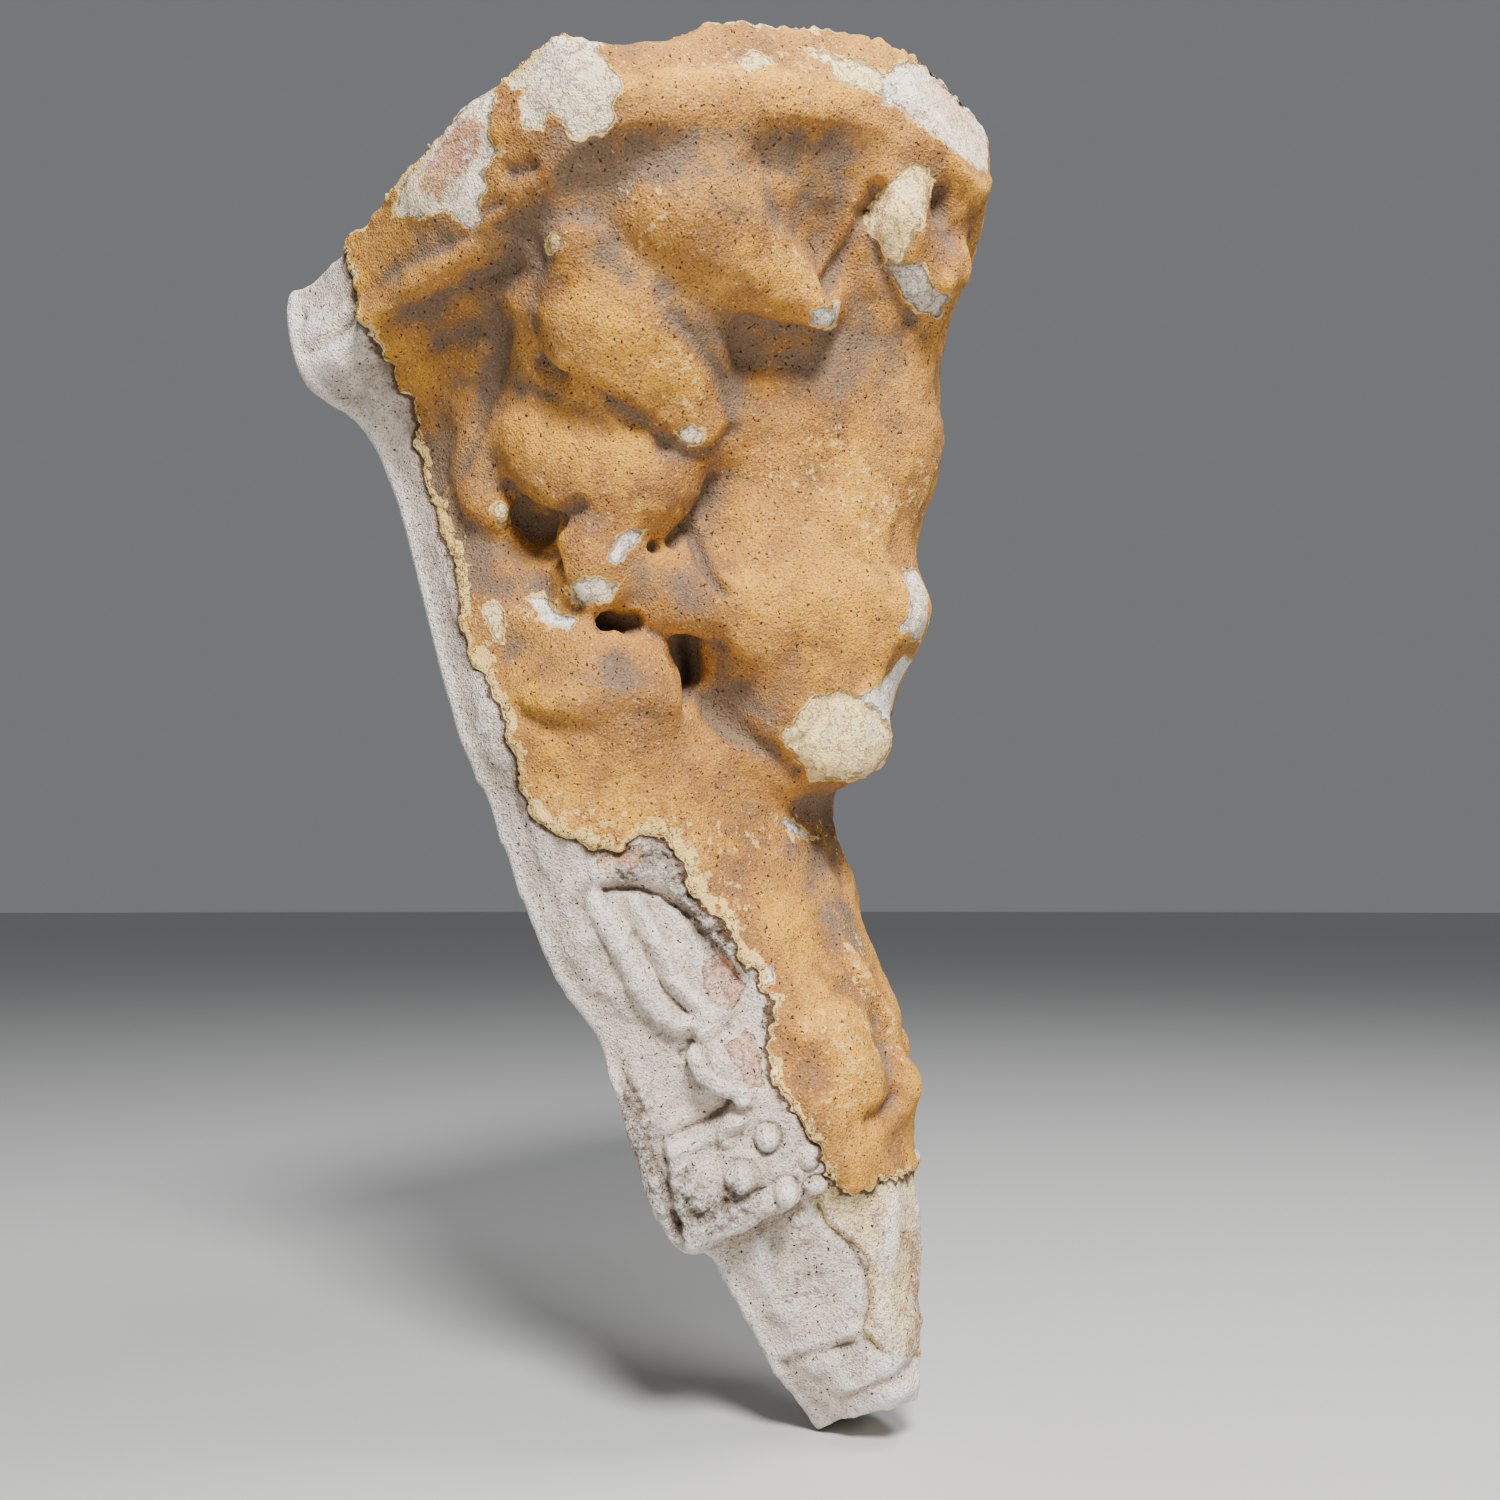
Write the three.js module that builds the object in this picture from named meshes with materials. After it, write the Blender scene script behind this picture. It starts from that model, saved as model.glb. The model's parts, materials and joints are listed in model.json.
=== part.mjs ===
import * as THREE from 'three';
import { mergeVertices } from 'three/addons/utils/BufferGeometryUtils.js';

// Driving sizes in millimetres, measured up from the back's lower corner and out from the flat back
const height = 500;
const mountHeight = 300;
const coatThickness = 4;

// Rim: a bowed front between flared sides, over a hollow soffit
const rimHalfWidth = 155;
const rimDepth = 259;
const rimBowRadius = 227;
const rimSideFlare = 0.109;
const rimBand = 37;
const rimArris = 8;
const soffitRise = 34;
const soffitSweep = 26;
const rimCorner = 16;
const rimLossTop = 20;
const rimLossBottom = 42;
const rimLossAzimuth = 32;
const rimLossSpread = 26;

// Bell behind the leaves
const neckHalfWidth = 118;
const neckDepth = 192;
const bellHalfWidth = 116;
const bellDepth = 122;
const trunkHalfWidth = 98;
const trunkDepth = 75;
const waistHalfWidth = 69;
const waistDepth = 74;

// Drooping leaf on the front
const leafTipHeight = 246;
const leafTipDepth = 129;
const leafBellyHeight = 354;
const leafBellyDepth = 180;
const leafHalfWidth = 70;

// Collar, tapered shaft and rounded foot
const collarHeight = 82;
const collarBand = 40;
const collarHalfWidth = 68;
const collarDepth = 78;
const shaftHalfWidth = 46;
const shaftDepth = 63;
const ankleHalfWidth = 28;
const ankleDepth = 52;
const footHalfWidth = 23;
const footDepth = 52;
const footBlock = 24;
const footDrop = 9;

const rimTop = height;
const rimBottom = height - rimArris - rimBand;
const neckTop = rimBottom - soffitRise;
const collarTop = collarHeight + collarBand;

// Heights on the stem, the bell and the neck, as shares of the way between the sizes that bound them
const onStem = (share) => collarTop + (leafTipHeight - collarTop) * share;
const onBell = (share) => leafTipHeight + (leafBellyHeight - leafTipHeight) * share;
const onNeck = (share) => leafBellyHeight + (neckTop - leafBellyHeight) * share;
const onRim = (share) => neckTop + (rimTop - neckTop) * share;
const onCollar = (share) => collarHeight + collarBand * share;

// Plain body: height, half width, depth, squareness of the plan
const body = [
  [-footDrop, footHalfWidth * 0.45, footDepth * 0.72, 2.4],
  [2, footHalfWidth * 0.8, footDepth * 0.97, 2.8],
  [10, footHalfWidth, footDepth, 3.4],
  [footBlock - 3, ankleHalfWidth, ankleDepth + 3, 3.6],
  [footBlock + 3, ankleHalfWidth, ankleDepth, 4],
  [collarHeight - 4, shaftHalfWidth, shaftDepth, 4],
  [collarHeight + 2, collarHalfWidth - 8, collarDepth - 10, 3.2],
  [collarTop - 14, collarHalfWidth - 2, collarDepth - 3, 3],
  [collarTop - 4, collarHalfWidth, collarDepth, 3],
  [collarTop + 5, waistHalfWidth, waistDepth, 2.8],
  [onStem(0.35), trunkHalfWidth - 17, trunkDepth, 2.3],
  [onStem(0.63), trunkHalfWidth, trunkDepth, 2],
  [onStem(0.83), trunkHalfWidth + 8, trunkDepth + 2, 2],
  [onBell(0.06), bellHalfWidth - 5, bellDepth - 36, 2],
  [onBell(0.41), bellHalfWidth - 1, bellDepth - 16, 2],
  [onBell(0.72), bellHalfWidth, bellDepth, 2],
  [leafBellyHeight, bellHalfWidth, bellDepth + 13, 2.1],
  [onNeck(0.39), bellHalfWidth, bellDepth + 34, 2.2],
  [onNeck(0.7), bellHalfWidth, neckDepth - 18, 2.3],
  [neckTop, neckHalfWidth, neckDepth, 2.5],
];

// Drooping leaf: height, depth at the middle, half width, depth of the middle of its section
const leaf = [
  [leafTipHeight - 4, leafTipDepth - 70, leafHalfWidth * 0.26, 52],
  [leafTipHeight, leafTipDepth - 22, leafHalfWidth * 0.44, 66],
  [leafTipHeight + 5, leafTipDepth - 5, leafHalfWidth * 0.55, 72],
  [leafTipHeight + 16, leafTipDepth + 1, leafHalfWidth * 0.7, 76],
  [onBell(0.28), leafTipDepth + 12, leafHalfWidth * 0.75, 78],
  [onBell(0.42), leafTipDepth + 25, leafHalfWidth * 0.84, 82],
  [onBell(0.61), leafBellyDepth - 17, leafHalfWidth * 0.99, 86],
  [onBell(0.8), leafBellyDepth - 13, leafHalfWidth, 88],
  [leafBellyHeight, leafBellyDepth, leafHalfWidth, 92],
  [onNeck(0.39), leafBellyDepth + 14, leafHalfWidth * 1.16, 104],
  [onNeck(0.73), leafBellyDepth + 28, leafHalfWidth * 1.2, 110],
  [neckTop, leafBellyDepth + 45, leafHalfWidth * 1.17, 118],
];

// Edge where the paint coat has broken away: height, azimuth in degrees from the front
const coatEdge = [
  [-footDrop, 15],
  [footBlock - 4, 19],
  [collarHeight - 14, 18],
  [collarHeight - 5, 25],
  [onCollar(0.18), 33],
  [onCollar(0.7), 39],
  [onStem(0.12), 42],
  [onStem(0.44), 44],
  [onStem(0.6), 51],
  [onStem(0.82), 54],
  [onStem(0.94), 71],
  [onBell(0.04), 81],
  [onNeck(0.24), 81],
  [neckTop, 78],
  [rimBottom, 77],
  [rimTop, 77],
];

// Lobes of the left flank: the ends lie on the body at [azimuth, height], and kept is the share of
// the swell that is left on the right flank
const lobes = [
  {
    name: 'rim petal', ends: [[-47, onRim(0.28)], [-28, onNeck(0.21)]],
    halfWidth: 28, swell: 28, kept: 0.8,
  },
  { name: 'petal knob', ends: [[-51, onRim(0.33)], [-43, onNeck(0.95)]], halfWidth: 15, swell: 21 },
  {
    name: 'lower petal', ends: [[-67, onNeck(0.95)], [-31, onNeck(0.01)]],
    halfWidth: 26, swell: 21, kept: 0.8,
  },
  {
    name: 'pointed lobe', ends: [[-43, onRim(0.3)], [-21, onNeck(0.93)]],
    halfWidth: 21, swell: 21, kept: 0.4,
  },
  {
    name: 'pointed tip', ends: [[-27, onRim(0.04)], [-16, onNeck(0.73)]],
    halfWidth: 11, swell: 19, kept: 0.2,
  },
  { name: 'curl', ends: [[-71, onNeck(0.95)], [-69, onNeck(0.24)]], halfWidth: 11, swell: 7 },
  { name: 'beak', ends: [[-49, onNeck(0.24)], [-56, onBell(0.73)]], halfWidth: 17, swell: 13 },
  { name: 'strap', ends: [[-44, onBell(0.94)], [-24, onBell(0.4)]], halfWidth: 18, swell: 9 },
  { name: 'blunt lobe', ends: [[-70, onBell(0.61)], [-42, onBell(0.3)]], halfWidth: 19, swell: 9 },
  { name: 'outer scroll', ends: [[-75, onStem(0.81)], [-59, onStem(0.21)]], halfWidth: 9, swell: 6 },
  { name: 'inner scroll', ends: [[-66, onStem(0.73)], [-53, onStem(0.27)]], halfWidth: 7, swell: 5 },
  { name: 'bud', ends: [[-66, onStem(0.23)], [-44, onCollar(0.97)]], halfWidth: 13, swell: 7 },
  { name: 'boss', ends: [[-32, onStem(0.26)], [-8, onCollar(1)]], halfWidth: 18, swell: 6 },
  { name: 'corner horn', ends: [[-52, onRim(0.92)], [-40, onRim(0.57)]], halfWidth: 24, swell: 3 },
];

// Lobes that are there once: the worn rib and nose on the front, and mortar left at the back edge
const singles = [
  { name: 'rib', ends: [[-16, onRim(0.35)], [-1, onNeck(0.75)]], halfWidth: 13, swell: 13 },
  { name: 'nose', ends: [[3, onBell(0.72)], [5, onBell(0.48)]], halfWidth: 9, swell: 6 },
  { name: 'mortar', ends: [[-84, onStem(0.34)], [-88, onCollar(-0.2)]], halfWidth: 18, swell: 12 },
];

// Pits under the edges of the lobes: centre at [azimuth, height], radius, depth
const pits = [
  { name: 'curl pit', centre: [-63, onNeck(0.18)], radius: 9, depth: 17 },
  { name: 'strap pit', centre: [-55, onBell(0.67)], radius: 9, depth: 13 },
  { name: 'leaf pit', centre: [-38, onBell(0.5)], radius: 10, depth: 18 },
  { name: 'leaf groove', centre: [-33, onBell(0.31)], radius: 12, depth: 10 },
];

// Softness of the meeting lines, firmness of the lobes' edges, and how steeply the coat's edge drops
const blend = 7;
const lobeEdge = 0.7;
const lobeCrease = 4;
const lobeDepth = 45;
const coatDrop = 1.5;
const normalTurn = 3;
const normalRise = 6;

const radians = THREE.MathUtils.degToRad;
const smoothstep = THREE.MathUtils.smoothstep;

// A value between stations that passes through each and never overshoots them
function between(stations, z, column) {
  const last = stations.length - 1;
  const slope = (k) => (
    (stations[k + 1][column] - stations[k][column]) / (stations[k + 1][0] - stations[k][0])
  );
  const tangent = (k) => {
    if (k === 0) return slope(0);
    if (k === last) return slope(last - 1);
    const product = slope(k - 1) * slope(k);
    return product <= 0 ? 0 : (2 * product) / (slope(k - 1) + slope(k));
  };
  const held = THREE.MathUtils.clamp(z, stations[0][0], stations[last][0]);
  let i = 0;
  while (i < last - 1 && stations[i + 1][0] < held) i += 1;
  const span = stations[i + 1][0] - stations[i][0];
  const t = (held - stations[i][0]) / span;
  return (2 * t ** 3 - 3 * t ** 2 + 1) * stations[i][column]
    + (t ** 3 - 2 * t ** 2 + t) * span * tangent(i)
    + (3 * t ** 2 - 2 * t ** 3) * stations[i + 1][column]
    + (t ** 3 - t ** 2) * span * tangent(i + 1);
}

// Larger of two reaches with a rounded crease of the given radius, and the smaller of two likewise
function softMax(a, b, radius) {
  const h = Math.max(radius - Math.abs(a - b), 0) / radius;
  return Math.max(a, b) + h * h * radius * 0.25;
}
const softMin = (a, b, radius) => -softMax(-a, -b, radius);

// Plan of the plain body
function bodyReach(azimuth, z) {
  const n = between(body, z, 3);
  const side = Math.abs(Math.sin(azimuth)) / between(body, z, 1);
  const front = Math.abs(Math.cos(azimuth)) / between(body, z, 2);
  return (side ** n + front ** n) ** (-1 / n);
}

// Plan of the drooping leaf, an ellipse centred in front of the back
function leafReach(azimuth, z) {
  const depth = between(leaf, z, 1);
  const halfWidth = between(leaf, z, 2);
  const centre = between(leaf, z, 3);
  const across = Math.sin(azimuth) / halfWidth;
  const along = Math.cos(azimuth) / (depth - centre);
  const offset = centre / (depth - centre);
  const a = across ** 2 + along ** 2;
  const root = (along * offset) ** 2 - a * (offset ** 2 - 1);
  return root > 0 && z > leaf[0][0] ? (along * offset + Math.sqrt(root)) / a : 0;
}

// Plan of the rim, with the front edge lost on the right
function rimReach(azimuth, z) {
  const centre = rimDepth - rimBowRadius;
  const bow = centre * Math.cos(azimuth)
    + Math.sqrt(rimBowRadius ** 2 - (centre * Math.sin(azimuth)) ** 2);
  const flared = Math.abs(Math.sin(azimuth)) - rimSideFlare * Math.cos(azimuth);
  const level = THREE.MathUtils.clamp((rimTop - z) / (rimTop - rimBottom), 0, 1);
  const away = (THREE.MathUtils.radToDeg(azimuth) - rimLossAzimuth) / rimLossSpread;
  const front = bow - THREE.MathUtils.lerp(rimLossTop, rimLossBottom, level) * Math.exp(-away * away);
  return flared * 2 * rimDepth < rimHalfWidth ? front : softMin(front, rimHalfWidth / flared, rimCorner);
}

// Body, leaf and rim together, before the carving: the soffit sweeps lower at the front than at the back
function plainReach(azimuth, z) {
  const level = Math.min(z, neckTop);
  const bell = softMax(bodyReach(azimuth, level), leafReach(azimuth, level), blend);
  const front = smoothstep(Math.cos(azimuth), 0.05, 0.6);
  const start = neckTop - soffitSweep * front;
  if (z <= start) return bell;
  const rise = Math.min((z - start) / (rimBottom - start), 1);
  const hollow = THREE.MathUtils.lerp(1 - Math.sqrt(1 - rise * rise), rise ** 2.2, front);
  const arris = Math.max(z - (rimTop - rimArris), 0) / rimArris;
  return THREE.MathUtils.lerp(bell, rimReach(azimuth, z) - 4 * arris ** 2, hollow);
}

const onBody = ([degrees, z]) => {
  const azimuth = radians(degrees);
  const r = plainReach(azimuth, z);
  return new THREE.Vector3(r * Math.sin(azimuth), -r * Math.cos(azimuth), z);
};

// Frame of a lobe on the body: along it from end to end, across it, and outward
function shapeLobe({ ends, halfWidth, swell }) {
  const [head, tail] = ends.map(onBody);
  const along = tail.clone().sub(head);
  const length = along.length() / 2;
  along.normalize();
  const middle = head.clone().add(tail).multiplyScalar(0.5);
  const outward = new THREE.Vector3(middle.x, middle.y, 0).normalize();
  outward.addScaledVector(along, -outward.dot(along)).normalize();
  const across = new THREE.Vector3().crossVectors(outward, along);
  return { middle, along, across, outward, length, halfWidth, swell };
}

// How far a lobe stands out at a point of the plain body: an oval dome with firm edges
function lobeRise(lobe, point) {
  const offset = point.clone().sub(lobe.middle);
  if (Math.abs(offset.dot(lobe.outward)) > lobeDepth) return 0;
  const u = offset.dot(lobe.along) / lobe.length;
  const v = offset.dot(lobe.across) / lobe.halfWidth;
  return lobe.swell * Math.max(1 - u * u - v * v, 0) ** lobeEdge;
}

const flip = ([degrees, z]) => [-degrees, z];
const carved = [
  ...lobes,
  ...lobes.map((lobe) => ({ ...lobe, ends: lobe.ends.map(flip), swell: lobe.swell * (lobe.kept ?? 1) })),
  ...singles,
].map(shapeLobe);
const sunk = [...pits, ...pits.map((pit) => ({ ...pit, centre: flip(pit.centre) }))]
  .map((pit) => ({ ...pit, at: onBody(pit.centre) }));

// Outward direction of the plain body at a point, taken across a wide enough patch to be steady
function plainNormal(degrees, z) {
  const round = onBody([degrees + normalTurn, z]).sub(onBody([degrees - normalTurn, z]));
  const above = onBody([degrees, Math.min(z + normalRise, rimTop)]);
  const below = onBody([degrees, Math.max(z - normalRise, -footDrop)]);
  return round.cross(above.sub(below)).normalize();
}

// A point of the finished skin: the plain body, raised by the lobes, sunk at the pits and coated
function carvedPoint(degrees, z) {
  const point = onBody([degrees, z]);
  const heaped = carved.reduce((sum, lobe) => sum + lobeRise(lobe, point) ** lobeCrease, 0);
  const dug = sunk.reduce(
    (sum, { at, radius, depth }) => sum + depth * Math.exp(-point.distanceToSquared(at) / radius ** 2),
    0,
  );
  const painted = between(coatEdge, z, 1) - Math.abs(degrees);
  const coat = coatThickness * smoothstep(painted, -coatDrop, coatDrop);
  return point.addScaledVector(plainNormal(degrees, z), heaped ** (1 / lobeCrease) - dug + coat);
}

// Rows of the skin, in bands from the foot to the top: upper height, rows in the band
const bands = [
  [footBlock + 3, 5],
  [collarHeight - 4, 6],
  [collarTop + 5, 8],
  [leafTipHeight - 4, 13],
  [leafTipHeight + 16, 5],
  [neckTop, 21],
  [rimBottom, 5],
  [rimTop - rimArris, 4],
  [rimTop, 2],
];
const levels = [-footDrop];
for (const [top, count] of bands) {
  const start = levels[levels.length - 1];
  for (let i = 1; i <= count; i += 1) levels.push(THREE.MathUtils.lerp(start, top, i / count));
}

// Columns of the skin, round the front and then straight across the back
const frontColumns = 60;
const backColumns = 5;

function skinPoint(column, z) {
  const edges = [-90, 90].map((degrees) => carvedPoint(degrees, z).x);
  if (column === 0) return new THREE.Vector3(edges[0], 0, z);
  if (column < frontColumns) return carvedPoint(180 * (column / frontColumns - 0.5), z);
  const across = (column - frontColumns) / backColumns;
  return new THREE.Vector3(THREE.MathUtils.lerp(edges[1], edges[0], across), 0, z);
}

// The casting: a capped cylinder whose skin is drawn out to the carved surface
function buildCasting() {
  const rows = levels.length - 1;
  const columns = frontColumns + backColumns;
  const geometry = new THREE.CylinderGeometry(1, 1, 1, columns, rows);
  const at = geometry.attributes.position;
  for (let i = 0; i < at.count; i += 1) {
    const z = levels[Math.round((at.getY(i) + 0.5) * rows)];
    if (Math.hypot(at.getX(i), at.getZ(i)) < 0.5) {
      at.setXYZ(i, 0, -plainReach(0, z) / 2, z);
    } else {
      const turn = Math.atan2(at.getX(i), at.getZ(i)) / (2 * Math.PI);
      const column = (Math.round(turn * columns) + columns) % columns;
      const point = skinPoint(column, z);
      at.setXYZ(i, point.x, Math.min(point.y, 0), THREE.MathUtils.clamp(point.z, -footDrop, rimTop));
    }
  }
  geometry.deleteAttribute('normal');
  geometry.deleteAttribute('uv');
  return mergeVertices(geometry, 1e-4);
}

const paintedPlaster = new THREE.MeshStandardMaterial({ color: 0xb5874a, roughness: 0.88, metalness: 0 });
const casting = new THREE.Mesh(buildCasting(), paintedPlaster);
casting.name = 'pilaster_section';

const group = new THREE.Group();
group.position.z = -mountHeight;
group.add(casting);
export default group;
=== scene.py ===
import json
import math

import bmesh
import bpy
import numpy as np
from mathutils import Matrix, Vector, noise
from mathutils.bvhtree import BVHTree

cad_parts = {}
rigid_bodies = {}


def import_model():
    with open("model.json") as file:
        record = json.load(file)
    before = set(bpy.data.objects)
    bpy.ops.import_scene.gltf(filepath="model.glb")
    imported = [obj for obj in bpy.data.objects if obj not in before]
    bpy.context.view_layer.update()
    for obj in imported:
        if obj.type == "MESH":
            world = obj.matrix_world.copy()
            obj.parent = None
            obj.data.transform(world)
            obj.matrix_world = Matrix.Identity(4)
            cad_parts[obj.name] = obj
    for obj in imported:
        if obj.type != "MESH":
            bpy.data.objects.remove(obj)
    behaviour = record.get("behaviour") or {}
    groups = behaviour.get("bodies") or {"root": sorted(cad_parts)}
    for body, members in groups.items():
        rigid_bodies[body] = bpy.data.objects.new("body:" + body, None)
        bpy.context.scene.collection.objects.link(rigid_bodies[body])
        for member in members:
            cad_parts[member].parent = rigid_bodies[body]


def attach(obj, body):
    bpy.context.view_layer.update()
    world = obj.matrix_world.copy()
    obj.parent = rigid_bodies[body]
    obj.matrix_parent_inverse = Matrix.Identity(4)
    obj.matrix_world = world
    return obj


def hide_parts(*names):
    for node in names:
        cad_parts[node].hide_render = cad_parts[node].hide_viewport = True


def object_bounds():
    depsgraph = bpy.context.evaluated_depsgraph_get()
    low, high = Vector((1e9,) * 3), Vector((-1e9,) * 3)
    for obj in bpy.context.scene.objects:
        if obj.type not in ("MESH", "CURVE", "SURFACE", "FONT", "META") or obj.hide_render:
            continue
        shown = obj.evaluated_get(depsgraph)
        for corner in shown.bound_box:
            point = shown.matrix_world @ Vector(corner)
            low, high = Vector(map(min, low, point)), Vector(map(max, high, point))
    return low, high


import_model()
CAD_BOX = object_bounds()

MM = 0.001

# The view: the casting leans back on its foot, seen from its left and from below the middle
IMAGE = 1500
LENS_PX = 1600
SENSOR_MM = 36
VIEW_TURN = math.radians(58)
VIEW_LIFT = math.radians(5.36)
LEAN = math.radians(20)
EYE = Vector((-0.6098, -0.3981, -0.2193))

# Where along a line of sight that misses the casting its nearest place is sought
ARM = 0.78

LOW = np.min(np.array([tuple(corner) for corner in CAD_BOX]), axis=0)
HIGH = np.max(np.array([tuple(corner) for corner in CAD_BOX]), axis=0)
FOOT, TOP = LOW[2], HIGH[2]

# Mesh of the casting: size of its faces, rounds of softening, how far behind what shows at a pixel a
# place may lie and still count as shown, and the pixels from stop to stop along a line
FACE = 3.8 * MM
SOFTEN_ROUNDS = 4
BEHIND = 8 * MM
PATH_STEP = 9

# Ovals of a laid form: their spacing as a share of their half width, their thickness as a share of
# their rise, and the least thickness
OVAL_STEP = 0.3
OVAL_DEPTH = 1.7
OVAL_LEAST = 5 * MM

# Fitting of the outline: how square to the view an edge place is, how far off the outline it may lie,
# how far beside it the background has to show, and how its correction is eased over the surface
SQUARE = 0.3
REACH = 24 * MM
BESIDE = 5 * MM
FIT_ROUNDS = 3
EASE_ROUNDS = 50
THIN = 0.04

# How far below the top a dip of the top edge begins and is full
DIP_FROM = 40 * MM
DIP_FULL = 5 * MM

# A bead as shares of its radius: the ball, the middle and half width of the well round it, and the
# depth of the well as a share of the rise
BALL = 0.7
WELL_AT = 0.82
WELL_HALF = 0.18
WELL_DEPTH = 0.3

# Noise with several octaves: how fast they fade, and how much finer each is
FADE = 0.8
FINER = 2.1

# In mm: the bare band along the top and the back, the half width of a torn edge, the depth of the
# bared plaster below the paint coats and of a flake's under coat, and the distance past which no
# edge counts
TOP_BARE = 4
BACK_BARE = 5
TORN = 0.7
COAT = 1.8
FLAKE_DEPTH = 0.7
FAR = 30

# The lip of the torn paint, in mm: how far in from the edge it lies, its half width, its mean rise,
# the size of its lumps and its most rise
LIP_IN = 2
LIP_HALF = 3
LIP_MEAN = 0.3
LIP_LUMP = 5
LIP_RISE = 1.2

# Unevenness as size of the lumps in mm, rise in mm and octaves: of the torn edges, of the whole
# surface, of the bared plaster and of the rough mortar, which also stands out as a whole
RAGGED = [(14, 2.2, 1), (6, 2.6, 3)]
FLAKE_RAGGED = 0.6
UNEVEN = [(22, 1.5, 1), (10, 0.8, 1), (5, 0.4, 1)]
PLASTER_UNEVEN = [(6, 0.6, 4)]
MORTAR_UNEVEN = [(6, 2.2, 3), (2.6, 1.2, 2)]
MORTAR_RISE = 0.8

# Carving fades out between these distances from the flat back
BACK_KEPT = 2 * MM
BACK_FREE = 8 * MM

# Grooves are eased from the first of these depths, fully at the second, in so many rounds
EASED_FROM = 2 * MM
EASED_FULL = 7 * MM
GROOVE_ROUNDS = 4

# Rounds of easing that give the surface which hollows are measured from
HOLLOW_ROUNDS = 40

# Swelling forms of the left flank, as chains of flat ovals laid on the casting:
# each point is pixel x, pixel y, half width in mm and rise in mm
FORMS = {
    "upper bulge": [(632, 205, 18, 2), (680, 205, 24, 4), (730, 222, 22, 4)],
    "pointed lobe": [(700, 238, 22, 3), (745, 258, 20, 5), (780, 278, 15, 7), (803, 298, 10, 8),
                     (820, 314, 8, 8)],
    "upper petal": [(570, 250, 14, 6), (588, 290, 24, 6), (622, 328, 31, 6), (665, 362, 29, 6),
                    (702, 405, 20, 5)],
    "lower petal": [(535, 440, 20, 5), (575, 447, 27, 6), (630, 462, 25, 6), (672, 482, 18, 5)],
    "curl": [(464, 405, 9, 3), (470, 450, 11, 4), (483, 492, 12, 5), (500, 518, 9, 7)],
    "beak": [(618, 498, 18, 5), (607, 542, 19, 8), (597, 578, 16, 9), (592, 596, 11, 9)],
    "strap": [(632, 574, 12, 4), (668, 588, 16, 6), (694, 604, 14, 6), (706, 600, 14, 4)],
    "low lump": [(495, 612, 9, 3), (525, 642, 20, 3), (560, 662, 22, 3), (600, 672, 20, 2)],
    "blunt lobe": [(622, 664, 16, 2), (650, 676, 15, 4), (664, 694, 11, 5)],
    "rib": [(914, 190, 8, 3), (903, 228, 9, 3), (908, 262, 10, 3), (928, 298, 9, 3)],
    "far lobe": [(948, 215, 11, 3), (957, 252, 12, 4), (948, 282, 8, 5)],
    "leaf tip": [(818, 738, 16, 2), (852, 734, 19, 3)],
    "nodule": [(912, 588, 7, 1), (912, 620, 8, 3)],
    "bud": [(708, 1046, 10, 4), (722, 1066, 14, 6), (741, 1088, 9, 5)],
    "boss": [(845, 1010, 15, 2), (862, 1050, 18, 4), (872, 1080, 13, 4)],
    "stem swell": [(770, 900, 16, 2), (792, 925, 18, 3), (800, 950, 15, 2)],
    "stem lobe": [(800, 985, 14, 2), (820, 1010, 16, 2)],
    "mortar": [(618, 1080, 7, 1), (628, 1120, 9, 2), (642, 1175, 11, 3), (665, 1225, 12, 3)],
    "lobe behind": [(842, 848, 9, 2), (850, 880, 11, 4), (850, 905, 8, 3)],
    "far bump": [(908, 1062, 9, 3), (914, 1085, 12, 6), (907, 1108, 8, 4)],
}
MIRRORED_FORMS = ["upper petal", "lower petal", "curl", "beak", "strap", "low lump", "blunt lobe", "bud"]

# Broad corrections of the form: points in pixels, radius in mm and rise in mm
PULLS = {
    "rim nose": ([(978, 240), (974, 300), (958, 350)], 32, -10),
    "under leaf": ([(852, 795), (850, 835)], 22, -6),
    "mortar side": ([(612, 1080), (640, 1190)], 16, 3),
    "below lump": ([(500, 725), (560, 738), (630, 745)], 22, 4),
    "low lump": ([(510, 655), (560, 668), (610, 682)], 18, -2.5),
    "rim underside": ([(600, 150), (650, 138), (700, 132), (780, 130), (850, 134), (900, 142)], 26, -4),
}

# The outline against the background, in pixels
OUTLINE = [
    (283, 305), (290, 350), (300, 375), (330, 405), (365, 430), (385, 470), (400, 510), (425, 610),
    (445, 690), (470, 770), (490, 800), (500, 840), (530, 920), (555, 980), (600, 1040), (625, 1120),
    (640, 1180), (660, 1230), (685, 1255), (710, 1250), (718, 1275), (740, 1310), (760, 1350),
    (785, 1385), (800, 1410), (830, 1425), (870, 1425), (905, 1410), (922, 1390), (925, 1330),
    (920, 1275), (922, 1250), (925, 1210), (918, 1180), (915, 1160), (905, 1125), (915, 1115),
    (922, 1095), (920, 1075), (905, 1055), (895, 1000), (885, 975), (862, 930), (855, 890), (845, 860),
    (828, 820), (828, 785), (860, 778), (885, 765), (892, 745), (890, 725), (895, 700), (905, 670),
    (905, 655), (925, 640), (930, 620), (925, 590), (915, 570), (915, 545), (920, 530), (925, 500),
    (935, 480), (942, 440), (935, 400), (945, 320), (960, 290), (975, 250), (985, 200), (988, 150),
    (975, 110), (950, 80), (900, 50), (860, 33), (800, 28), (740, 22), (720, 22), (690, 35), (640, 45),
    (600, 42), (565, 33), (545, 42), (500, 75), (450, 120), (400, 180), (350, 240), (300, 290),
]

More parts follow.
